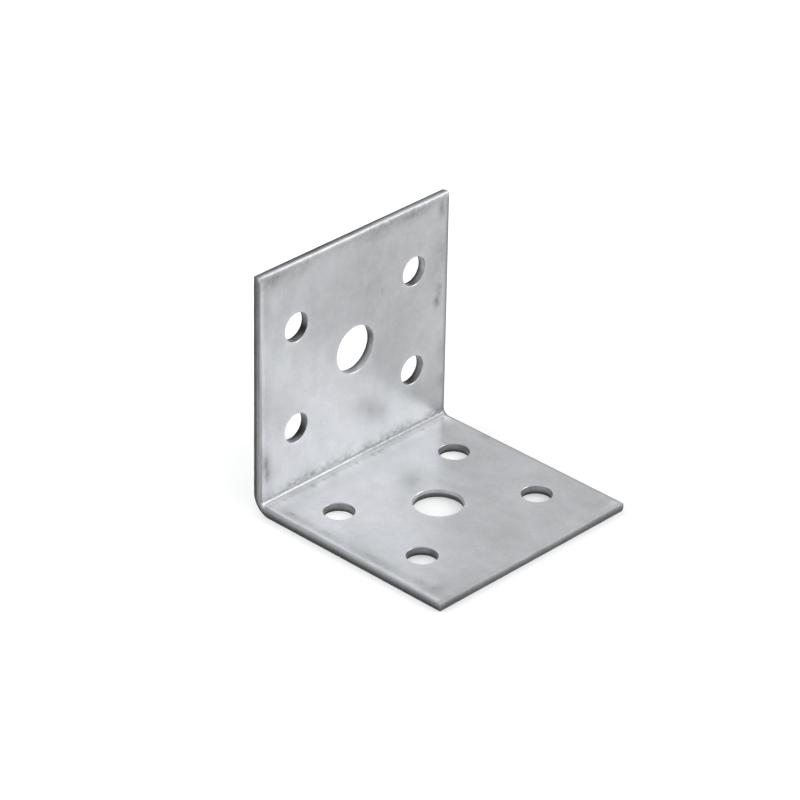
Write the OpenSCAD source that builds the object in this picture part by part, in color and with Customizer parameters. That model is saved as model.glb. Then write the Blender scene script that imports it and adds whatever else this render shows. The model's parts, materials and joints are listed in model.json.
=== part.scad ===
// Angle bracket: one strip of galvanised steel sheet, punched flat and folded once at a right angle.
// X runs from the upright leg's back face towards the base leg's free end, Y runs across the strip
// and Z runs up. The origin is under the middle of the bracket, on the surface that it stands on.

/* [Sheet] */
// Thickness of the sheet
sheet_t = 1.5; // [1:0.1:2.5]
// Width of the strip, the same on both legs
strip_w = 40; // [32:0.5:80]

/* [Legs] */
// Length of the base leg, from the upright's back face to the free end
base_length = 38.9; // [35:0.1:80]
// Height of the upright leg, from the base leg's underside to the free end
upright_height = 40.3; // [37:0.1:80]

/* [Fold] */
// Inner radius of the fold
inner_fold_r = 0.9; // [0.5:0.1:3]
// How much thinner the stretched sheet is at the middle of the fold
fold_thinning = 0.36; // [0:0.01:0.45]

/* [Holes] */
// Diameter of the four small fixing holes in each leg
fixing_hole_d = 4.75; // [3:0.05:8]
// Diameter of the large hole in the middle of each leg's small ones
centre_hole_d = 7.8; // [4:0.1:14]
// Distance from a leg's free end to the nearest row of fixing holes
end_margin = 10.9; // [6:0.1:13]
// Distance between the two rows of fixing holes in a leg
row_spacing = 17.3; // [14:0.1:21]
// Distance from a side edge to the nearest fixing holes
side_margin = 7.5; // [5:0.1:12]

/* [Cut edges] */
// Width of the rolled rim that the shear leaves along the strip's outer edges, on the inside faces
roll_w = 0.6; // [0.3:0.05:0.8]
// Depth of that rolled rim where it meets the straight band of the cut
roll_depth = 0.15; // [0.05:0.05:0.25]
// Radius of the smaller rolled rim that the punch leaves round the holes, on the inside faces
hole_roll_r = 0.15; // [0.05:0.05:0.4]
// Depth of the broken zone of a cut, measured from the outside face
break_depth = 0.45; // [0.2:0.05:0.8]
// How far the cut leans away from the metal across the broken zone
break_lean = 0.1; // [0.02:0.01:0.15]

/* [Hidden] */
$fn = 96;

// How far a cutting shape reaches past the metal
cut_over = 0.3;
// A fold whose two arcs have a common centre keeps its thickness, and a larger outer arc thins it
outer_fold_r = inner_fold_r + sheet_t + fold_thinning / (sqrt(2) - 1);
// Radius of the arc that leaves a face smoothly, roll_w from the edge, and is roll_depth deep there
roll_arc_r = (roll_w * roll_w + roll_depth * roll_depth) / (2 * roll_depth);
// Half the distance across the strip between the fixing holes
half_across = strip_w / 2 - side_margin;

// The waste between a square corner at the origin, its metal in the first quadrant, and an arc in it
module corner_waste(r) {
    difference() {
        translate([-cut_over, -cut_over]) square(r + cut_over);
        translate([r, r]) circle(r);
    }
}

// The waste over a rolled rim: X leads into the metal from the inside face, and Y from the edge
module roll_waste() {
    difference() {
        translate([-cut_over, -cut_over]) square([roll_depth + cut_over, roll_w + cut_over]);
        translate([roll_arc_r, roll_w]) circle(roll_arc_r);
    }
}

// The waste beside a leaning cut: X leads into the metal from the outside face, and Y from the edge
module lean_waste() {
    polygon([[-cut_over, -cut_over], [-cut_over, break_lean], [0, break_lean], [break_depth, 0],
             [break_depth, -cut_over]]);
}

// The folded section, seen along Y, with the outside of the corner at the origin
module folded_section() {
    difference() {
        square([base_length, upright_height]);
        corner_waste(outer_fold_r);
        translate([sheet_t, sheet_t]) difference() {
            square([base_length, upright_height]);
            corner_waste(inner_fold_r);
        }
    }
}

// Carries a profile along the side edge of one face, from the base leg's free end, round the fold
// and up the upright. The profile's X leads into the metal from that face, and its Y leads across
// the strip from the edge. face is the face's distance from the outside faces, fold_r its radius in
// the fold, and into is 1 where the metal lies outside that radius and -1 where it lies inside.
module along_side_edge(face, fold_r, into) {
    centre = face + fold_r;
    translate([centre, 0, face]) rotate([0, 90, 0])
        linear_extrude(base_length - centre + cut_over) turned_profile(into) children();
    translate([centre, 0, centre]) rotate([-90, 0, 0]) rotate(90)
        rotate_extrude(angle = 90) translate([fold_r, 0]) turned_profile(into) children();
    translate([face, 0, centre])
        linear_extrude(upright_height - centre + cut_over) turned_profile(-into) children();
}

// A profile as drawn, or mirrored left to right where into is -1
module turned_profile(into) {
    if (into > 0) children();
    else mirror([1, 0]) children();
}

// The rolled and leaning cut along both long sides of the strip
module side_edge_cuts() {
    for (side = [0, 1]) mirror([0, side, 0]) translate([0, -strip_w / 2, 0]) {
        along_side_edge(sheet_t, inner_fold_r, 1) roll_waste();
        along_side_edge(0, outer_fold_r, -1) lean_waste();
    }
}

// The same cut across the free end of a leg that lies along X with its outside face at Z = 0
module free_end_cut(length) {
    translate([length, strip_w / 2 + cut_over, 0]) rotate([90, 0, 0])
        linear_extrude(strip_w + 2 * cut_over) {
            translate([0, sheet_t]) mirror([0, 1]) rotate(90) roll_waste();
            rotate(90) lean_waste();
        }
}

// One punched hole through a sheet whose outside face is at Z = 0: a leaning broken zone, a
// straight bore and a rolled rim
module punched_hole(d) {
    r = d / 2;
    rim_r = r + hole_roll_r;
    rim_z = sheet_t - hole_roll_r;
    rotate_extrude() difference() {
        polygon([[0, -cut_over], [r + break_lean, -cut_over], [r + break_lean, 0], [r, break_depth],
                 [r, rim_z], [rim_r, rim_z], [rim_r, sheet_t + cut_over], [0, sheet_t + cut_over]]);
        translate([rim_r, rim_z]) circle(hole_roll_r);
    }
}

// Every hole of a leg that lies along X, with its free end at length
module leg_holes(length) {
    outer_row = length - end_margin;
    translate([outer_row - row_spacing / 2, 0, 0]) punched_hole(centre_hole_d);
    for (x = [outer_row - row_spacing, outer_row], y = [-half_across, half_across])
        translate([x, y, 0]) punched_hole(fixing_hole_d);
}

// Turns what is drawn for a leg along X into the place of the upright, outside face to outside face
module as_upright() {
    mirror([1, 0, 0]) rotate([0, -90, 0]) children();
}

module bracket() {
    color([0.74, 0.75, 0.77]) translate([-base_length / 2, 0, 0]) difference() {
        translate([0, strip_w / 2, 0]) rotate([90, 0, 0]) linear_extrude(strip_w) folded_section();
        side_edge_cuts();
        free_end_cut(base_length);
        as_upright() free_end_cut(upright_height);
        leg_holes(base_length);
        as_upright() leg_holes(upright_height);
    }
}

bracket();
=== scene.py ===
import json
import math
from collections import namedtuple

import bpy
import numpy as np
from mathutils import Matrix, Vector


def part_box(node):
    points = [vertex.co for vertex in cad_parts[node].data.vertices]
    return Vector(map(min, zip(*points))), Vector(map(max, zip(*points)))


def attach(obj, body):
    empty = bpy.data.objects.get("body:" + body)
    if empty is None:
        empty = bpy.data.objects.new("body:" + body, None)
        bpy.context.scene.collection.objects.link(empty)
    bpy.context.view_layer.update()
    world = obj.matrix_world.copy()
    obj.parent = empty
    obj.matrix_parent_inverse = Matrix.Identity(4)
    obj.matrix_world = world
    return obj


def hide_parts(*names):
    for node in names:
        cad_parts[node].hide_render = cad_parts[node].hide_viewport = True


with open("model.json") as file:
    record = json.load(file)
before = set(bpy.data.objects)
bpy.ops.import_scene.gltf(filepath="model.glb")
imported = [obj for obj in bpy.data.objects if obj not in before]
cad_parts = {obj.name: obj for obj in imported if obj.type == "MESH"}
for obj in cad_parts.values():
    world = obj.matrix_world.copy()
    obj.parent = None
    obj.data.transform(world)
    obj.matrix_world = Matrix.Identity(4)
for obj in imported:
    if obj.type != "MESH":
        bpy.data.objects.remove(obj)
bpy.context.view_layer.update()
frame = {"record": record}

MM = 0.001

# The sheet, its fold and its cuts, as the part's source has them
SHEET_T = 1.5 * MM
INNER_FOLD_R = 0.9 * MM
FOLD_THINNING = 0.36 * MM
OUTER_FOLD_R = INNER_FOLD_R + SHEET_T + FOLD_THINNING / (math.sqrt(2) - 1)
ROLL_W, ROLL_DEPTH, HOLE_ROLL_R = 0.6 * MM, 0.15 * MM, 0.15 * MM
ROLL_ARC_R = (ROLL_W ** 2 + ROLL_DEPTH ** 2) / (2 * ROLL_DEPTH)
BREAK_DEPTH, BREAK_LEAN = 0.45 * MM, 0.1 * MM

# The bracket's box and its holes, from the frame
LOW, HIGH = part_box("bracket")
HALF_WIDTH = HIGH.y
MOUNTS = {m["name"]: m for m in frame["record"]["mounts"]}
Hole = namedtuple("Hole", "row side along across radius cell kind shade")

# Spacing of the lattice that the flat faces are divided by, and steps through a cut, a fold and a hole's
# cell
PITCH = 0.45 * MM
ROLL_STEPS, BURNISH_STEPS, TORN_STEPS = 6, 6, 5
FOLD_STEPS = 30
HOLE_RINGS = 8
# How much closer together a hole's rings lie towards its rim
RING_CROWDING = 1.6
# Points of the surface that are closer than this are one point
SAME_PLACE = 1e-5 * MM

# How far the break line of a cut wanders up and down, how deep the torn metal is pitted, and the shortest
# wave of each
BREAK_WANDER, BREAK_WAVE = 0.35, 6 * MM
TEAR_DEPTH, TEAR_WAVE = 0.03 * MM, 1.1 * MM
# How fast a wave's height falls off with its number: of the break line, and of the pits, which stay rough
WAVE_FADE, TEAR_FADE = 0.8, 0.3
# A sum of waves seldom passes this many times its own mean height
WAVE_PEAK = 2.2
# The seeds of the waves in the form and in the tones of the cut round the strip
EDGE_SEED, EDGE_TONE_SEED = 3, 5

# How bright each cut is, as ROLL times the coat's own brightness from the face to the cut, and as STEEL's
# reflectance at the top, middle and foot of the burnished band and on the torn metal. The edges are named by
# where the photograph shows them, and the holes by their leg.
# ROLL's values over 1 are painted highlights on the rolled rims, as is the top edge's bright steel at the top
# of its band; the rest are partly the cut's own finish and partly painted reflection and shade
ROLL = {
    "near": (1.18, 1.42, 0.86), "left": (1.08, 1.22, 0.86), "tip": (0.99, 0.98, 0.95),
    "top": (0.95, 1.0, 1.35), "right": (0.79, 0.36, 0.2), "far": (0.98, 0.6, 0.3),
    "upright": (1.12, 1.25, 0.8), "base": (1.05, 0.95, 0.85),
    "upright_centre": (1.1, 1.2, 0.8), "base_centre": (1.1, 1.25, 1.05),
}
STEEL = {
    "near": (0.29, 0.165, 0.062, 0.09), "left": (0.26, 0.23, 0.085, 0.06), "tip": (0.41, 0.22, 0.135, 0.17),
    "top": (1.0, 0.42, 0.13, 0.1), "right": (0.25, 0.22, 0.15, 0.09), "far": (0.25, 0.22, 0.15, 0.09),
    "upright": (0.16, 0.12, 0.07, 0.045), "base": (0.24, 0.2, 0.08, 0.05),
    "upright_centre": (0.32, 0.24, 0.13, 0.08), "base_centre": (0.5, 0.47, 0.12, 0.1),
}
# How far down the burnished band the darkness of its foot starts, where that isn't at the break line
FOOT_AT = {"base_centre": 0.7}
# How much brighter or darker quick waves make the steel, the rolled rim's share of that, how many places of
# the cut there are to each of them, and how fast the higher ones fall off
TONE_WANDER, ROLL_SHARE = 0.16, 0.3
QUICK_PLACES, QUICK_FADE = 9, 0.35
# The slow waves that make patches: how many, their seed after the quick ones' and how fast the higher ones
# fall off, and how dark and how bright a patch may be
SLOW_WAVES, SLOW_SEED, SLOW_FADE = 4, 9, 0.2
PATCH_RANGE = (0.3, 2)
# How the steel darkens and lightens along three of the edges, partly its own patches and partly painted
# reflection and shade: which of its four stations, the places in mm, across the strip or up the upright's
# near edge, and how much brighter or darker it is there
EDGE_SHADE = {
    "top": (slice(1, 4), (-20, -15, -8, 0, 7, 16), (1.0, 0.85, 0.5, 0.68, 1.0, 0.82)),
    "tip": (slice(0, 3), (-20, -13, -9, 9, 13, 20), (0.78, 0.84, 1.04, 1.04, 0.84, 0.74)),
    "left": (slice(0, 2), (2, 6, 13, 21, 30, 37), (1.0, 1.16, 1.05, 0.9, 0.72, 0.62)),
}

# How much brighter or darker the burnished wall of each small hole is, partly as painted reflection, by row
# from the fold and side of the strip, and how far the light and dark patches round any hole's wall go
HOLE_SHADE = {
    "upright": {(-1, -1): 1.1, (-1, 1): 1.1, (1, -1): 0.95, (1, 1): 1.9},
    "base": {(-1, -1): 1.0, (-1, 1): 0.9, (1, -1): 0.95, (1, 1): 1.15},
}
HOLE_PATCHES = 0.25
# Light and dark places on the walls of the holes, partly the steel's own patches and partly painted
# reflection and shade: the leg, the hole's row and side, which are 0 in the middle, the angle round it and
# how far the place reaches, in degrees, and how dark it is, or with a minus how much brighter
WALL_MARKS_AND_LIGHT = [
    ("upright", 1, -1, 58, 26, 0.7), ("upright", 1, -1, 95, 20, -0.3), ("upright", 1, 1, 0, 25, 0.6),
    ("upright", -1, 1, -8, 36, 0.62), ("upright", -1, 1, 80, 35, -0.35), ("upright", -1, -1, 48, 28, 0.66),
    ("upright", -1, -1, -8, 25, -0.45), ("upright", 0, 0, 112, 26, 0.6), ("upright", 0, 0, 30, 35, -0.3),
    ("base", -1, 1, 130, 40, -0.2), ("base", 1, 1, 125, 35, -0.35), ("base", 1, -1, 130, 40, -0.4),
    ("base", -1, -1, 130, 40, -0.2),
]

# Dirt on the inside faces, with painted shade and painted light: the leg, the middle's place along it from
# the corner and across the strip, the reach along and across, all in mm, and how dark the mark is, or with a
# minus how much brighter. The wide mark over the upright's middle is painted shade, and the marks with a
# minus are painted light: painted sheen on the upright's near side and painted highlights at the base's far
# tip corner.
MARKS_AND_PAINTED_LIGHT = [
    ("upright", 39.2, -17.6, 1.3, 2.0, 0.5), ("upright", 38.4, -12.0, 0.9, 3.0, 0.22),
    ("upright", 38.6, 4.6, 0.8, 2.6, 0.25), ("upright", 39.0, 12.5, 0.9, 3.2, 0.4),
    ("upright", 38.0, 18.4, 1.5, 0.8, 0.6), ("upright", 22.2, 17.6, 0.9, 0.6, 0.7),
    ("upright", 24.2, 18.2, 1.0, 0.5, 0.5), ("upright", 7.7, 19.0, 1.0, 0.5, 0.4),
    ("upright", 31.0, 18.7, 3.0, 0.8, 0.22), ("upright", 28.0, 17.2, 6.5, 1.3, 0.13),
    ("upright", 13.0, 18.9, 1.8, 0.5, 0.3), ("upright", 8.6, -18.8, 1.3, 0.35, 0.65),
    ("upright", 6.6, -18.5, 0.9, 0.4, 0.55), ("upright", 30.5, 2.5, 0.5, 0.7, 0.15),
    ("upright", 28.8, 5.4, 0.4, 0.5, 0.2), ("upright", 36.0, -19.0, 3.5, 0.8, 0.18),
    # The first mark here is painted shade, the next dirt, and the two after those painted sheen
    ("upright", 32.0, 6.0, 12.0, 14.0, 0.16), ("upright", 19.5, -18.8, 3.5, 1.5, 0.12),
    ("upright", 29.0, -18.6, 4.0, 1.5, -0.08), ("upright", 35.0, -16.5, 2.0, 2.5, -0.08),
    ("base", 12.0, 2.1, 1.9, 1.4, 0.2), ("base", 35.7, -17.4, 1.0, 1.7, 0.3),
    ("base", 33.0, -17.9, 1.1, 0.5, 0.25), ("base", 11.1, 19.1, 0.9, 0.5, 0.3),
    ("base", 6.4, -18.2, 0.7, 0.45, 0.22), ("base", 14.0, -18.4, 1.2, 0.4, 0.2),
    ("base", 27.0, -18.2, 5.0, 0.9, 0.17), ("base", 36.5, 17.6, 0.7, 1.2, 0.15),
    # Painted highlights at the base's far tip corner
    ("base", 38.1, 19.1, 0.8, 0.8, -0.3), ("base", 38.2, 17.0, 0.4, 1.8, -0.12),
]

# Dirt along the upright's free end: how dark, how far it reaches and how patchy it is
TOP_DIRT, TOP_DIRT_REACH, TOP_PATCHY = 0.24, 1.3 * MM, 0.9
# Dirt inside the rolled rims of the two near side edges: its middle's distance from the edge, how far it
# reaches to each side and how patchy it is, and how dark it is on each leg
SIDE_DIRT_AT, SIDE_DIRT_REACH, SIDE_PATCHY = 1.6 * MM, 0.9 * MM, 0.6
SIDE_DIRT = {"base": 0.21, "upright": 0.08}
# Painted shade on the upright over the fold, in a wide and a narrow band: how dark and how far up each is
FOLD_SHADE = ((0.34, 1.7 * MM), (0.28, 0.7 * MM))
FOLD_PATCHY = 0.35
# The bright line's place round the fold and half its width
FOLD_LINE_TURN, FOLD_LINE_HALF = math.radians(45), math.radians(5)
# How far round the fold the line moves on its way to the far edge, between two places across the strip
FOLD_LINE_SHIFT, FOLD_LINE_FROM, FOLD_LINE_TO = math.radians(20), -1.0 * MM, 5.0 * MM
# How dark the fold is painted, as shade, over its bright line, and on it, before the line moves and as much
# more after it, how patchy the line is, and how much of the line's move the shaded band's end takes part in
FOLD_BAND_SHADE, FOLD_LINE_SHADE = (0.5, 0.12), (0.1, 0.08)
LINE_PATCHY, FOLD_LINE_SHADE_MOST = 0.25, 0.6
BAND_FOLLOWS = 0.4
# Ticks that the folding tool left on the base: the height over which a wave shows, how dark and how long
TICK_FROM, TICK_DARK, TICK_REACH = 0.2, 0.5, 0.9 * MM
# Painted sheen and shade round the fold: how much brighter than the faces it is, by its turn in degrees, and
# how far onto the base that goes
FOLD_SHINE = ((0, 40, 46, 54, 62, 72, 82, 90), (1.0, 0.85, 0.46, 0.7, 1.15, 1.5, 1.62, 1.65))
FOLD_SHINE_REACH = 1.4 * MM
# The waves that break each of these up: how many, their seed and how fast the higher ones fall off
WAVES = {
    "top": (14, 41, 0.4), "fold": (22, 43, 0.3), "line": (9, 45, 0.3), "ticks": (80, 47, 0.05),
    "side": (16, 49, 0.3),
}
# The upright's face is painted a little darker than the base's, as shade
UPRIGHT_TONE = 0.955
# How far along the pattern of the coat the outside faces lie from the inside ones, so that the two differ
OUTSIDE_SHIFT = 0.2

# The camera, as fitted to the photograph's edges: it looks from EYE to AIM
EYE = Vector((370.32, -396.71, 335.22)) * MM
AIM = Vector((-4.44, -4.24, 19.26)) * MM
ROLL_DEG = 1.09
LENS_MM = 190.26
SENSOR_MM = 36


def spaced(start, end):
    """Evenly spaced values from start to end, with both, at most PITCH apart."""
    return np.linspace(start, end, math.ceil(abs(end - start) / PITCH) + 1)


def joined(stretches):
    """Stretches that each start where the last ends, as one row of values."""
    return np.concatenate([stretches[0]] + [s[1:] for s in stretches[1:]])


def wander(turn, waves, seed, fade=WAVE_FADE):
    """A wave round a closed path, mostly from -1 to 1: the sum of whole numbers of sine waves, each one's
    height its number to the power -fade and its phase drawn from seed, over WAVE_PEAK times that sum's mean
    height. turn goes from 0 to 1 round the path."""
    number = np.arange(1, waves + 1)
    phase = np.random.default_rng(seed).uniform(0, 2 * np.pi, waves)
    height = number ** -fade
    wave = np.sin(2 * np.pi * np.multiply.outer(turn, number) + phase) @ height
    return wave / (WAVE_PEAK * np.sqrt((height ** 2).sum() / 2))


def cut_through(places, length, arc_r, end_angle, seed):
    """The cut through the sheet at places round a closed path of this length.

    Across the thickness it has a rolled rim at the inside face, which is an arc of arc_r that leaves the face
    smoothly and turns by end_angle, then a straight burnished band down to the break line, and then a torn
    zone that leans back by BREAK_LEAN at the outside face. The break line's height is BREAK_DEPTH times one
    plus BREAK_WANDER times a wave, and the torn zone is pitted by waves up to TEAR_DEPTH that start at
    nothing on the break line. Returns, for each place and step, how far back into the metal the surface lies
    and its height over the outside face."""
    turn = np.arange(places) / places
    slow, fast = int(length / BREAK_WAVE), int(length / TEAR_WAVE)
    line = BREAK_DEPTH * (1 + BREAK_WANDER * np.clip(wander(turn, slow, seed), -1, 1))
    angle = np.linspace(0, end_angle, ROLL_STEPS + 1)
    roll_back = np.tile(arc_r * (np.sin(end_angle) - np.sin(angle)), (places, 1))
    roll_height = np.tile(SHEET_T - arc_r * (1 - np.cos(angle)), (places, 1))
    share = np.linspace(0, 1, BURNISH_STEPS + 1)[1:]
    burnish_height = roll_height[:, -1:] * (1 - share) + line[:, None] * share
    fall = np.linspace(0, 1, TORN_STEPS + 1)[1:]
    torn_height = line[:, None] * (1 - fall)
    pits = np.stack([wander(turn, fast, seed + 1 + k, TEAR_FADE) for k in range(TORN_STEPS)], 1)
    torn_back = BREAK_LEAN * fall + TEAR_DEPTH * fall ** 0.5 * np.clip(0.5 + 0.5 * pits, 0, 1)
    back = np.hstack([roll_back, np.zeros_like(burnish_height), torn_back])
    height = np.hstack([roll_height, burnish_height, torn_height])
    return back, height


def cut_tones(roll, steel, seed, patchy=0.0, foot_at=1.0):
    """The brightness of a cut at each place and step, from each place's three values for the rolled rim and
    four for the steel.

    Values between the named stations are on straight lines. A quick wave along the path makes each station
    brighter or darker by TONE_WANDER, and a slow one does the same to the steel by patchy, in pairs of
    stations. The steel's third value is reached foot_at of the way down the burnished band."""
    places = len(roll)
    turn = np.arange(places) / places
    roll_at = np.linspace(0, 2, ROLL_STEPS + 1)
    burnish_at = np.interp(np.linspace(0, 1, BURNISH_STEPS + 1), (0, 0.5, foot_at), (0, 1, 2))
    torn_at = 2 + np.linspace(0, 1, TORN_STEPS + 1)[1:] ** 0.5
    waves = max(places // QUICK_PLACES, 3)
    quick = np.stack([wander(turn, waves, seed + k, QUICK_FADE) for k in range(4)], 1)
    pairs = [seed + SLOW_SEED + k // 2 for k in range(4)]
    slow = np.stack([wander(turn, SLOW_WAVES, pair, SLOW_FADE) for pair in pairs], 1)
    roll = roll * (1 + ROLL_SHARE * TONE_WANDER * quick[:, :3] * (0, 1, 1))
    steel = steel * (1 + TONE_WANDER * quick) * np.clip(1 + patchy * slow, *PATCH_RANGE)
    return between_stations(roll, roll_at), between_stations(steel, np.concatenate([burnish_at, torn_at]))


def between_stations(values, at):
    """Each row of values read at fractions of its places, on straight lines from one to the next."""
    low = np.minimum(at.astype(int), values.shape[1] - 2)
    return values[:, low] * (1 - at + low) + values[:, low + 1] * (at - low)


class Patches:
    """Grids of points gathered into one mesh, each with its places on the flat blank in metres.

    tone is the steel's reflectance or the coat's brightness, painted highlights and shade included, torn goes
    from 0 to 1 on torn metal, and the third value is how dark the coat is made by dirt and by painted shade.
    Faces look towards the side from which rows then columns turn anticlockwise."""

    def __init__(self):
        self.points, self.blank, self.faces, self.slots = [], [], [], []
        self.values = {"tone": [], "torn": [], "stain": []}
        self.count = 0

    def add(self, points, blank, closed=False, flip=False, keep=None, slot=0, tone=1.0, torn=0.0, stain=0.0):
        rows, columns = points.shape[:2]
        at = self.count + np.arange(rows * columns).reshape(rows, columns)
        if closed:
            at = np.vstack([at, at[:1]])
        quads = np.stack([at[:-1, :-1], at[1:, :-1], at[1:, 1:], at[:-1, 1:]], -1)
        if flip:
            quads = quads[..., ::-1]
        quads = quads[keep] if keep is not None else quads.reshape(-1, 4)
        self.points.append(points.reshape(-1, 3))
        self.blank.append(blank.reshape(-1, 2))
        for name, value in (("tone", tone), ("torn", torn), ("stain", stain)):
            self.values[name].append(np.broadcast_to(value, (rows, columns)).ravel())
        self.faces.append(quads)
        self.slots.append(np.full(len(quads), slot))
        self.count += rows * columns

    def mesh(self, name):
        """The patches as one closed mesh, with the points that meet made one."""
        points, faces = np.concatenate(self.points), np.concatenate(self.faces)
        blank = np.concatenate(self.blank)[faces.ravel()]
        places = np.round(points / SAME_PLACE)
        _, first, one = np.unique(places, axis=0, return_index=True, return_inverse=True)
        mesh = bpy.data.meshes.new(name)
        mesh.from_pydata(points[first], [], one.reshape(-1)[faces])
        mesh.polygons.foreach_set("material_index", np.concatenate(self.slots).astype(np.int32))
        mesh.uv_layers.new(name="blank").uv.foreach_set("vector", blank.astype(np.float32).ravel())
        for key, value in self.values.items():
            corner = np.concatenate(value)[faces.ravel()].astype(np.float32)
            mesh.attributes.new(key, "FLOAT", "CORNER").data.foreach_set("value", corner)
        mesh.update()
        return mesh


class Leg:
    """One leg's sizes: along is measured from the outside of the corner to the leg's free end."""

    def __init__(self, name, length, axis):
        holes = MOUNTS[name + "_fixing_holes"]
        spacing = [holes["dims"]["spacing_x_mm"] * MM, holes["dims"]["spacing_y_mm"] * MM]
        self.name = name
        self.base = axis == 0
        self.length = length
        self.middle = holes["pos_m"][axis] - LOW[axis]
        self.half_rows = spacing[0 if self.base else 1] / 2
        self.half_across = spacing[1 if self.base else 0] / 2
        self.fixing_r = holes["dims"]["hole_r_mm"] * MM
        self.centre_r = MOUNTS[name + "_centre_hole"]["dims"]["r_mm"] * MM
        room = (self.half_rows - self.fixing_r - self.centre_r) / 2
        self.fixing_cell, self.centre_cell = self.fixing_r + room, self.centre_r + room

    def holes(self):
        """Each hole, with its row and side, its place along and across, its radius, half the side of the
        square cell round it, and the name of its tones and how bright they are."""
        yield Hole(0, 0, self.middle, 0.0, self.centre_r, self.centre_cell, self.name + "_centre", 1)
        for row in (-1, 1):
            for side in (-1, 1):
                along, across = self.middle + row * self.half_rows, side * self.half_across
                shade = HOLE_SHADE[self.name][row, side]
                yield Hole(row, side, along, across, self.fixing_r, self.fixing_cell, self.name, shade)

    def lines(self, fold_end):
        """Places along the leg of the lattice's lines, from the fold's end to the free end's rim. The first
        stretch has as many of them on the outside face as on the inside, where the fold ends sooner."""
        low, high = self.middle - self.half_rows, self.middle + self.half_rows
        cell = self.fixing_cell
        stops = [low - cell, low + cell, high - cell, high + cell, self.length - ROLL_W]
        first = np.linspace(fold_end, stops[0], math.ceil((stops[0] - OUTER_FOLD_R) / PITCH) + 1)
        return joined([first] + [spaced(a, b) for a, b in zip(stops, stops[1:])])

    def point(self, along, across, height):
        """Points of the leg, height over its outside face."""
        along, across, height = np.broadcast_arrays(along, across, height)
        if self.base:
            return np.stack([LOW.x + along, across, LOW.z + height], -1)
        return np.stack([LOW.x + height, across, LOW.z + along], -1)


def nearest(values, value):
    """The number of the one of values that is nearest to value."""
    return int(np.abs(values - value).argmin())


def loop_round(low_line, high_line, low_column, high_column):
    """The lattice points round a rectangle, anticlockwise from its low corner: their lines and columns."""
    lines = np.arange(low_line, high_line)
    columns = np.arange(low_column, high_column)
    low_side, high_side = np.full(len(lines), low_column), np.full(len(lines), high_column)
    first_end, last_end = np.full(len(columns), low_line), np.full(len(columns), high_line)
    return (np.concatenate([lines, last_end, lines[::-1] + 1, first_end]),
            np.concatenate([low_side, columns, high_side, columns[::-1] + 1]))


def loop_angles(lines, columns):
    """The angle of each point of such a loop round its middle, a quarter turn to each side."""
    sides = [s + np.arange(n) / n for s, n in enumerate((lines, columns, lines, columns))]
    return np.radians(90 * np.concatenate(sides) - 135)


class Section:
    """The folded section as a row of places on the inside face and a row on the outside face.

    They are counted from the upright's free end, through the fold, to the base leg's free end. In the fold
    the two faces are quarter circles with their own centres and radii. run is each place's distance along the
    strip."""

    def __init__(self, base, upright):
        inner_end = SHEET_T + INNER_FOLD_R
        turn = np.linspace(0, np.pi / 2, FOLD_STEPS + 1)[1:-1, None]
        towards = np.hstack([-np.cos(turn), -np.sin(turn)])
        up_in, up_out = upright.lines(inner_end)[::-1], upright.lines(OUTER_FOLD_R)[::-1]
        base_in, base_out = base.lines(inner_end), base.lines(OUTER_FOLD_R)
        self.inside = np.vstack([
            np.stack([np.full(len(up_in), SHEET_T), up_in], -1),
            inner_end + INNER_FOLD_R * towards,
            np.stack([base_in, np.full(len(base_in), SHEET_T)], -1),
        ])
        self.outside = np.vstack([
            np.stack([np.zeros(len(up_out)), up_out], -1),
            OUTER_FOLD_R + OUTER_FOLD_R * towards,
            np.stack([base_out, np.zeros(len(base_out))], -1),
        ])
        middle = (self.inside + self.outside) / 2
        self.run = np.concatenate([[0], np.cumsum(np.linalg.norm(np.diff(middle, axis=0), axis=1))])
        self.last = len(self.run) - 1
        self.fold = (len(up_in) - 1, len(up_in) + FOLD_STEPS - 1)
        self.end_out = np.zeros((self.last + 1, 2))
        self.end_out[0], self.end_out[self.last] = (0, 1), (1, 0)

    def place(self, line, across, height, out):
        """Points between the two faces, carried out past the free ends by out."""
        inside, outside = self.inside[line], self.outside[line]
        xz = outside + (inside - outside) * (height / SHEET_T)[..., None]
        xz = xz + self.end_out[line] * out[..., None]
        return np.stack([LOW.x + xz[..., 0], across, LOW.z + xz[..., 1]], -1)

    def leg_lines(self, leg):
        """Each line's distance along a leg on its outside face, and -1 past the fold."""
        line = np.arange(self.last + 1)
        if leg.base:
            return np.where(line >= self.fold[1], self.outside[:, 0], -1)
        return np.where(line <= self.fold[0], self.outside[:, 1], -1)


def dirt_and_painted_light(section, across, legs):
    """How dark the inside face is made at each line and column by dirt and painted shade, up to 1, where less
    than 0 is painted light.

    A mark is a bell curve of the distance from its middle, and the margins are bell curves of the distance
    from their edge, times one plus a wave along it."""
    turn = (across / (2 * HALF_WIDTH) + 0.5) / 2
    stain = np.zeros((section.last + 1, len(across)))
    for leg, along, aside, reach, width, dark in MARKS_AND_PAINTED_LIGHT:
        away = (section.leg_lines(legs[leg])[:, None] / MM - along) / reach
        stain += dark * np.exp(-away ** 2 - ((across / MM - aside) / width) ** 2)
    along = section.run / section.run[-1] / 2
    margin = np.exp(-((across + HALF_WIDTH - SIDE_DIRT_AT) / SIDE_DIRT_REACH) ** 2)
    for leg, dark in SIDE_DIRT.items():
        patchy = (1 + SIDE_PATCHY * wander(along, *WAVES["side"])) * (section.leg_lines(legs[leg]) >= 0)
        stain += dark * np.multiply.outer(patchy, margin)
    top = HIGH.z - LOW.z - section.leg_lines(legs["upright"])[:, None]
    patchy = 1 + TOP_PATCHY * wander(turn, *WAVES["top"])
    stain += TOP_DIRT * np.exp(-(top / TOP_DIRT_REACH) ** 2) * patchy
    return np.clip(stain + fold_shade_and_ticks(section, across, turn), -1, 1)


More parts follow.
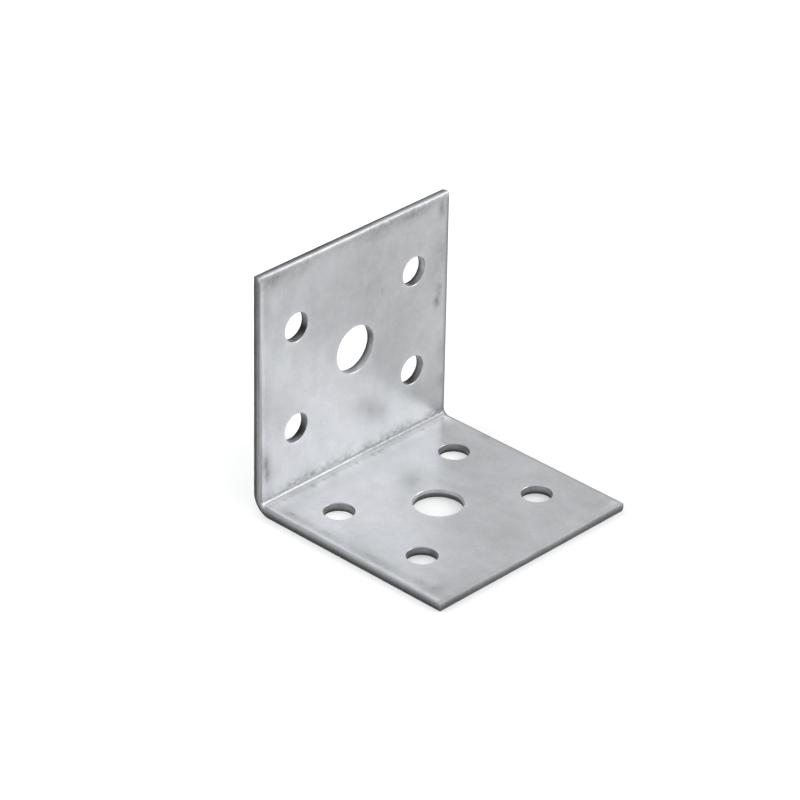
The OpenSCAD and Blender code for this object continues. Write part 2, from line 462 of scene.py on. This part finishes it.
def fold_shade_and_ticks(section, across, turn):
    """The painted shade in and beside the fold, and the folding tool's ticks: bands on the upright that die
    away upwards, a darker band round the fold as far as the bright line, whose edges fall off as the fourth
    power of the angle from its middle, and ticks on the base wherever a wave stands over TICK_FROM."""
    first, last = section.fold
    line = np.arange(section.last + 1)[:, None]
    angle = np.clip((line - first) / (last - first), 0, 1) * np.pi / 2
    within = (line > first) & (line < last)
    above = np.where(line <= first, section.inside[:, 1:] - SHEET_T - INNER_FOLD_R, 0)
    below = np.where(line >= last, section.inside[:, :1] - SHEET_T - INNER_FOLD_R, 0)
    patchy = 1 + FOLD_PATCHY * wander(turn, *WAVES["fold"])
    stain = sum(dark * patchy * np.exp(-(above / reach) ** 2) * (line <= first) for dark, reach in FOLD_SHADE)
    moved = np.clip((across - FOLD_LINE_FROM) / (FOLD_LINE_TO - FOLD_LINE_FROM), 0, 1)
    line_at = FOLD_LINE_TURN + FOLD_LINE_SHIFT * moved
    bright = np.exp(-((angle - line_at) / FOLD_LINE_HALF) ** 4)
    on_line = FOLD_LINE_SHADE[0] + FOLD_LINE_SHADE[1] * moved + LINE_PATCHY * wander(turn, *WAVES["line"])
    band_end = FOLD_LINE_TURN + BAND_FOLLOWS * (line_at - FOLD_LINE_TURN)
    on_band = (FOLD_BAND_SHADE[0] + FOLD_BAND_SHADE[1] * moved) * (angle < band_end)
    stain = stain + (on_band * (1 - bright) + np.clip(on_line, 0, FOLD_LINE_SHADE_MOST) * bright) * within
    ticks = np.clip(wander(turn, *WAVES["ticks"]) - TICK_FROM, 0, 1)
    return stain + TICK_DARK * ticks * np.exp(-(below / TICK_REACH) ** 2) * (line >= last)


def face_tones(section):
    """How bright the inside face's coat is at each line: painted a little darker on the upright as shade, and
    with painted shade and sheen round the fold, brighter than the base round its lower part, from which it
    falls back over FOLD_SHINE_REACH."""
    first, last = section.fold
    line = np.arange(section.last + 1)
    down = np.clip((line - first) / (last - first), 0, 1)
    past = np.maximum(section.inside[:, 0] - section.inside[last, 0], 0)
    shine = np.interp(90 * down, *FOLD_SHINE)
    shine = 1 + (shine - 1) * np.exp(-(past / FOLD_SHINE_REACH) ** 2)
    return shine * (UPRIGHT_TONE + (1 - UPRIGHT_TONE) * down)


class Lattice:
    """The two faces of the folded strip on one lattice, with the tone, painted light included, and the dirt
    and painted shade of the inside one.

    Its lines cross the strip, as the section's places, and its columns run along it. blank is each point's
    place on the flat blank, and keep is false for the squares that give way to a hole."""

    def __init__(self, legs):
        self.section = Section(legs["base"], legs["upright"])
        self.columns = self.spaced_columns(legs["base"])
        self.last, self.side = self.section.last, len(self.columns) - 1
        lines = np.tile(np.arange(self.last + 1)[:, None], (1, self.side + 1))
        across = np.tile(self.columns, (self.last + 1, 1))
        level = np.zeros(lines.shape)
        self.blank = np.stack([self.section.run[lines], across], -1)
        self.faces = {
            "inside": self.section.place(lines, across, level + SHEET_T, level),
            "outside": self.section.place(lines, across, level, level),
        }
        stain = dirt_and_painted_light(self.section, self.columns, legs)
        # Marks below 0 brighten the coat: painted light
        self.tone = face_tones(self.section)[:, None] * (1 - np.minimum(stain, 0))
        self.stain = np.maximum(stain, 0)
        self.keep = np.ones((self.last, self.side), bool)

    @staticmethod
    def spaced_columns(leg):
        """Places across the strip, with the cells' sides among them."""
        fixing, cell, edge = leg.half_across, leg.fixing_cell, HALF_WIDTH - ROLL_W
        stops = [-edge, -fixing - cell, -fixing + cell, -leg.centre_cell]
        stops += [-s for s in stops[::-1]]
        return joined([spaced(a, b) for a, b in zip(stops, stops[1:])])


def bracket_surface():
    """The whole bracket as one closed surface, on a lattice that follows the strip. The cut goes round the
    lattice's edge, and round each hole a square cell of the lattice gives way to rings."""
    legs = {"base": Leg("base", HIGH.x - LOW.x, 0), "upright": Leg("upright", HIGH.z - LOW.z, 2)}
    lattice, patches = Lattice(legs), Patches()
    cut_round(patches, lattice)
    for leg in legs.values():
        for hole in leg.holes():
            cut_hole(patches, lattice, leg, hole)
    inside, outside = lattice.faces["inside"], lattice.faces["outside"]
    patches.add(inside, lattice.blank, keep=lattice.keep, tone=lattice.tone, stain=lattice.stain)
    patches.add(outside, lattice.blank + (OUTSIDE_SHIFT, 0), flip=True, keep=lattice.keep)
    return patches.mesh("folded_sheet")


def cut_round(patches, lattice):
    """The cut round the strip: the profile of cut_through, carried along the lattice's edge. The lattice's
    own edge takes the cut's tone there, and its place on the outside face."""
    section = lattice.section
    line, column = loop_round(0, lattice.last, 0, lattice.side)
    side_out = np.select([column == 0, column == lattice.side], [-1, 1], 0)
    end_out = np.select([line == 0, line == lattice.last], [-1, 1], 0)
    around = 2 * (section.run[-1] + 2 * HALF_WIDTH)
    back, height = cut_through(len(line), around, ROLL_ARC_R, math.asin(ROLL_W / ROLL_ARC_R), EDGE_SEED)
    out = ROLL_W - back
    steps = (1, back.shape[1])
    across = lattice.columns[column][:, None] + side_out[:, None] * out
    rim = section.place(np.tile(line[:, None], steps), across, height, out)
    outwards = np.stack([end_out, side_out], -1)[:, None]
    rim_blank = lattice.blank[line, column][:, None] + outwards * out[..., None]
    cut_blank = np.stack([np.tile(np.arange(len(line))[:, None] * PITCH, steps), height], -1)
    roll_row, steel_row = edge_tones(section, line, column, lattice.side)
    shade_edges(section, line, column, lattice.columns[column], steel_row)
    tones = cut_tones(roll_row, steel_row, EDGE_TONE_SEED)
    add_cut(patches, rim, rim_blank, cut_blank, tones, lattice.stain[line, column][:, None], flip=True)
    lattice.tone[line, column] *= tones[0][:, 0]
    lattice.faces["outside"][line, column] = rim[:, -1]


def cut_hole(patches, lattice, leg, hole):
    """One hole: the profile of cut_through, carried round a circle, and on each face the rings that go from
    the square cell's sides to the rim, closer together towards it. Each hole's waves have a seed of their
    own, which is how many points came before it."""
    places = lattice.section.leg_lines(leg)
    ends = sorted(nearest(places, hole.along + way * hole.cell) for way in (-1, 1))
    sides = sorted(nearest(lattice.columns, hole.across + way * hole.cell) for way in (-1, 1))
    lattice.keep[ends[0]:ends[1], sides[0]:sides[1]] = False
    loop = loop_round(*ends, *sides)
    angle = loop_angles(ends[1] - ends[0], sides[1] - sides[0])
    seed = patches.count
    back, height = cut_through(len(angle), 2 * np.pi * hole.radius, HOLE_ROLL_R, np.pi / 2, seed)
    reach = hole.radius + back
    way_along = np.cos(angle)[:, None] * (1 if leg.base else -1)
    wall = leg.point(hole.along + way_along * reach, hole.across + np.sin(angle)[:, None] * reach, height)
    blank, stain = lattice.blank[loop], lattice.stain[loop][:, None]
    middle = ((blank[:, 0].min() + blank[:, 0].max()) / 2, hole.across)
    rim_blank = middle + np.stack([np.cos(angle), np.sin(angle)], -1)[:, None] * reach[..., None]
    wall_blank = np.stack([np.tile((angle * hole.radius)[:, None], (1, back.shape[1])), height], -1)
    face_tone = 1 if leg.base else UPRIGHT_TONE
    steel_row = STEEL[hole.kind] * wall_shades((leg.name, hole.row, hole.side), angle)[:, None]
    steel_row[:, :2] *= hole.shade
    roll_row = np.tile(ROLL[hole.kind], (len(angle), 1)) * face_tone
    tones = cut_tones(roll_row, steel_row, seed, HOLE_PATCHES, FOOT_AT.get(hole.kind, 1))
    add_cut(patches, wall, rim_blank, wall_blank, tones, stain, flip=False)
    share = 1 - (1 - np.linspace(0, 1, HOLE_RINGS + 1)) ** RING_CROWDING
    near_rim = share ** 3
    ring_tone = face_tone * (1 - near_rim) + tones[0][:, :1] * near_rim
    points, spots = rings(share, lattice.faces["inside"][loop], wall[:, 0], blank, rim_blank[:, 0])
    patches.add(points, spots, closed=True, tone=ring_tone, stain=stain)
    points, spots = rings(share, lattice.faces["outside"][loop], wall[:, -1], blank, rim_blank[:, -1])
    patches.add(points, spots + (OUTSIDE_SHIFT, 0), closed=True, flip=True)


def rings(share, square, rim, square_blank, rim_blank):
    """Points on straight lines from the cell's sides to the rim, and their places on the blank, at each share
    of the way."""
    share = share[None, :, None]
    points = square[:, None] * (1 - share) + rim[:, None] * share
    spots = square_blank[:, None] * (1 - share) + rim_blank[:, None] * share
    return points, spots


def edge_tones(section, line, column, side):
    """The tones at each place round the strip's edge, by which edge it is on. Along the two long edges they
    turn from the upright's to the base leg's within the fold."""
    first, last = section.fold
    down = np.clip((line - first) / (last - first), 0, 1)[:, None]
    rows = []
    for table in (ROLL, STEEL):
        low = (1 - down) * table["left"] + down * table["near"]
        high = (1 - down) * table["right"] + down * table["far"]
        tones = np.where((column == 0)[:, None], low, high)
        tones = np.where((line == 0)[:, None], table["top"], tones)
        rows.append(np.where((line == section.last)[:, None], table["tip"], tones))
    return rows


def shade_edges(section, line, column, across, steel):
    """Darkens and lightens the steel's tones along the two free ends and the upright's near edge, partly as
    painted reflection and shade.
    """
    places = {
        "top": (line == 0, across),
        "tip": (line == section.last, across),
        "left": (column == 0, section.inside[line, 1]),
    }
    for name, (there, place) in places.items():
        stations, *table = EDGE_SHADE[name]
        steel[:, stations] *= np.where(there, np.interp(place / MM, *table), 1)[:, None]


def wall_shades(hole, angle):
    """How bright each place round a hole's wall is: each of its marks, partly painted reflection and shade,
    takes off its darkness times a bell curve of the angle from its middle."""
    shade = np.ones(len(angle))
    for *where, at, reach, dark in WALL_MARKS_AND_LIGHT:
        if tuple(where) == hole:
            away = (np.degrees(angle) - at + 180) % 360 - 180
            shade *= 1 - dark * np.exp(-(away / reach) ** 2)
    return shade


def add_cut(patches, points, rim_blank, cut_blank, tones, stain, flip):
    """A cut's grid in two parts: the rolled rim, which is coated, and the bare steel under it."""
    roll_tone, steel_tone = tones
    rim, cut = slice(None, ROLL_STEPS + 1), slice(ROLL_STEPS, None)
    torn = np.zeros(steel_tone.shape[1])
    torn[-TORN_STEPS:] = 1
    patches.add(points[:, rim], rim_blank[:, rim], closed=True, flip=flip, tone=roll_tone, stain=stain)
    patches.add(points[:, cut], cut_blank[:, cut], closed=True, flip=flip, slot=1, tone=steel_tone, torn=torn)


class Graph:
    """Short names for making and joining a material's nodes."""

    def __init__(self, name):
        self.material = bpy.data.materials.new(name)
        self.material.use_nodes = True
        self.nodes, self.links = self.material.node_tree.nodes, self.material.node_tree.links
        self.shader = self.nodes["Principled BSDF"]

    def put(self, target, value):
        if isinstance(value, bpy.types.NodeSocket):
            self.links.new(value, target)
        else:
            target.default_value = value

    def value(self, name):
        node = self.nodes.new("ShaderNodeAttribute")
        node.attribute_name = name
        return node.outputs["Fac"]

    def blank(self, scale=(1, 1)):
        """Places on the flat blank, stretched along and across the strip by scale."""
        place = self.nodes.new("ShaderNodeUVMap")
        place.uv_map = "blank"
        mapping = self.nodes.new("ShaderNodeMapping")
        mapping.inputs["Scale"].default_value = (*scale, 1)
        self.links.new(place.outputs[0], mapping.inputs["Vector"])
        return mapping.outputs[0]

    def noise(self, where, per_metre, detail=2.0, rough=0.5, bend=0.0):
        node = self.nodes.new("ShaderNodeTexNoise")
        self.links.new(where, node.inputs["Vector"])
        node.inputs["Scale"].default_value = per_metre
        node.inputs["Detail"].default_value = detail
        node.inputs["Roughness"].default_value = rough
        node.inputs["Distortion"].default_value = bend
        return node.outputs["Fac"]

    def spread(self, value, low, high, start=0.3, end=0.7):
        """value carried from the range start..end to the range low..high."""
        node = self.nodes.new("ShaderNodeMapRange")
        for name, number in (("From Min", start), ("From Max", end), ("To Min", low), ("To Max", high)):
            node.inputs[name].default_value = number
        self.links.new(value, node.inputs["Value"])
        return node.outputs["Result"]

    def math(self, operation, first, second):
        node = self.nodes.new("ShaderNodeMath")
        node.operation = operation
        self.put(node.inputs[0], first)
        self.put(node.inputs[1], second)
        return node.outputs[0]

    def mix(self, share, first, second):
        node = self.nodes.new("ShaderNodeMix")
        node.data_type = "RGBA"
        self.put(node.inputs[0], share)
        self.put(node.inputs[6], first)
        self.put(node.inputs[7], second)
        return node.outputs[2]

    def scale(self, colour, amount):
        node = self.nodes.new("ShaderNodeVectorMath")
        node.operation = "SCALE"
        self.put(node.inputs[0], colour)
        self.put(node.inputs["Scale"], amount)
        return node.outputs[0]

    def bump(self, height, strength, distance):
        node = self.nodes.new("ShaderNodeBump")
        node.inputs["Strength"].default_value = strength
        node.inputs["Distance"].default_value = distance
        self.links.new(height, node.inputs["Height"])
        self.links.new(node.outputs[0], self.shader.inputs["Normal"])


# The coat's two tints, the colour of its dirt and painted shade, and the tint of bare steel, which its
# reflectance is multiplied by
COAT_GREEN = (0.459, 0.472, 0.481, 1)
COAT_PURPLE = (0.466, 0.467, 0.481, 1)
DIRT_AND_SHADE_COLOUR = (0.17, 0.175, 0.18, 1)
STEEL_TINT = (0.98, 1.0, 1.02)
# Faces that meet at a sharper turn than this are shaded with an edge between them
SHARP_TURN = math.radians(30)


def zinc_coat():
    """Galvanised sheet: clouds of two tints, faint streaks along the strip, fine grain, and the dirt, painted
    shade and tones, painted highlights among them, that the surface carries."""
    g = Graph("zinc_coat")
    flat = g.blank()
    clouds = g.noise(flat, 95, detail=4, rough=0.55, bend=0.6)
    tints = g.noise(flat, 60, detail=2)
    grain = g.noise(flat, 2600, detail=2)
    streaks = g.noise(g.blank((0.5, 1.4)), 260, detail=2, rough=0.5)
    specks = g.noise(flat, 1300, detail=3, rough=0.65)
    blotches = g.noise(flat, 480, detail=3, rough=0.6, bend=0.4)
    colour = g.mix(g.spread(tints, 0, 1, 0.35, 0.65), COAT_GREEN, COAT_PURPLE)
    bright = g.math("MULTIPLY", g.spread(clouds, 0.92, 1.08), g.spread(grain, 0.955, 1.045))
    bright = g.math("MULTIPLY", bright, g.spread(streaks, 0.965, 1.035))
    bright = g.math("MULTIPLY", bright, g.spread(blotches, 0.955, 1.045))
    bright = g.math("MULTIPLY", bright, g.value("tone"))
    # Darkens the coat with dirt and with painted shade
    dirt_and_shade_share = g.math("MULTIPLY", g.value("stain"), g.spread(specks, 0.5, 1.5))
    g.put(g.shader.inputs["Base Color"], g.mix(dirt_and_shade_share, g.scale(colour, bright), DIRT_AND_SHADE_COLOUR))
    g.shader.inputs["Metallic"].default_value = 1
    rough = g.math("ADD", g.spread(clouds, 0.31, 0.37), g.math("MULTIPLY", dirt_and_shade_share, 0.15))
    g.put(g.shader.inputs["Roughness"], rough)
    g.bump(g.math("ADD", g.noise(flat, 240, detail=2), g.math("MULTIPLY", specks, 0.12)), 0.12, 0.04 * MM)
    return g.material


def sheared_steel():
    """Cut steel: a burnished band with marks straight through the sheet, and darker, rougher torn metal."""
    g = Graph("sheared_steel")
    drags = g.noise(g.blank((1, 0.12)), 5200, detail=3, rough=0.6)
    grit = g.noise(g.blank(), 4200, detail=3, rough=0.7)
    torn = g.value("torn")
    fine = g.mix(torn, g.spread(drags, 0.86, 1.14), g.spread(grit, 0.65, 1.35))
    bright = g.math("MULTIPLY", g.value("tone"), fine)
    g.put(g.shader.inputs["Base Color"], g.scale(STEEL_TINT, bright))
    g.shader.inputs["Metallic"].default_value = 1
    g.put(g.shader.inputs["Roughness"], g.spread(torn, 0.34, 0.6, 0, 1))
    g.bump(g.mix(torn, drags, grit), 0.25, 0.03 * MM)
    return g.material


def make_bracket():
    sheet = bpy.data.objects.new("folded_sheet", bracket_surface())
    bpy.context.scene.collection.objects.link(sheet)
    sheet.data.materials.append(zinc_coat())
    sheet.data.materials.append(sheared_steel())
    sheet.data.shade_smooth()
    sheet.data.set_sharp_from_angle(angle=SHARP_TURN)
    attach(sheet, "root")
    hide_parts("bracket")


def make_camera():
    data = bpy.data.cameras.new("camera")
    data.lens, data.sensor_width, data.sensor_fit = LENS_MM, SENSOR_MM, "HORIZONTAL"
    data.clip_start, data.clip_end = 0.01, 20
    camera = bpy.data.objects.new("camera", data)
    bpy.context.scene.collection.objects.link(camera)
    look = (AIM - EYE).to_track_quat("-Z", "Y").to_matrix()
    roll = Matrix.Rotation(math.radians(ROLL_DEG), 3, "Z")
    camera.matrix_world = Matrix.Translation(EYE) @ (look @ roll).to_4x4()
    bpy.context.scene.camera = camera


# Half the floor's side, its colour, and the light that it gives only to what is seen, so that it stays white
FLOOR_REACH = 3.0
FLOOR_GREY = (0.72, 0.72, 0.72, 1)
FLOOR_LIFT = 0.21
# The floor under the row of holes next to the fold, where the upright keeps the light off, has more
UNDER_X, UNDER_Y = (-13 * MM, -5 * MM), (-17 * MM, 17 * MM)
UNDER_LIFT = 0.4


def pale_floor(name, lift):
    """A matt floor that also shines by lift, but only into what is seen, straight or in a reflection."""
    g = Graph(name)
    g.shader.inputs["Base Color"].default_value = FLOOR_GREY
    g.shader.inputs["Roughness"].default_value = 1
    g.shader.inputs["Specular IOR Level"].default_value = 0
    g.shader.inputs["Emission Color"].default_value = (1, 1, 1, 1)
    path = g.nodes.new("ShaderNodeLightPath")
    seen = g.math("MAXIMUM", path.outputs["Is Camera Ray"], path.outputs["Is Glossy Ray"])
    seen = g.math("MAXIMUM", seen, path.outputs["Is Transmission Ray"])
    g.put(g.shader.inputs["Emission Strength"], g.math("MULTIPLY", seen, lift))
    return g.material


def make_stage():
    """The floor, as three by three quads, of which the middle one lies under the holes next to the fold."""
    xs, ys = ((-FLOOR_REACH, *inner, FLOOR_REACH) for inner in (UNDER_X, UNDER_Y))
    corners = [4 * row + column for row in range(3) for column in range(3)]
    mesh = bpy.data.meshes.new("floor")
    mesh.from_pydata([(x, y, 0) for x in xs for y in ys], [], [(c, c + 4, c + 5, c + 1) for c in corners])
    mesh.materials.append(pale_floor("pale_floor", FLOOR_LIFT))
    mesh.materials.append(pale_floor("pale_floor_under", UNDER_LIFT))
    middle = len(corners) // 2
    mesh.polygons[middle].material_index = 1
    floor = bpy.data.objects.new("floor", mesh)
    bpy.context.scene.collection.objects.link(floor)


# The room's even light, and the lamps' places in metres, sides and powers. Only the softbox shows in metal.
ROOM_COLOUR, ROOM_STRENGTH = (0.985, 0.99, 1, 1), 1.02
LAMPS = {
    "softbox": ((0.427, 0.434, 0.35), 0.38, 2.0),
    "fill": ((-0.5, -0.5, 0.38), 0.4, 2.9),
}


def make_light():
    world = bpy.data.worlds.new("studio")
    world.use_nodes = True
    world.node_tree.nodes["Background"].inputs["Color"].default_value = ROOM_COLOUR
    world.node_tree.nodes["Background"].inputs["Strength"].default_value = ROOM_STRENGTH
    bpy.context.scene.world = world
    for name, (place, side, watts) in LAMPS.items():
        data = bpy.data.lights.new(name, "AREA")
        data.shape, data.size, data.energy = "SQUARE", side, watts
        lamp = bpy.data.objects.new(name, data)
        lamp.visible_glossy = name == "softbox"
        bpy.context.scene.collection.objects.link(lamp)
        turned = (-Vector(place)).to_track_quat("-Z", "Y").to_matrix().to_4x4()
        lamp.matrix_world = Matrix.Translation(place) @ turned


make_bracket()
make_camera()
make_stage()
make_light()
bpy.context.scene.view_settings.view_transform = "Standard"
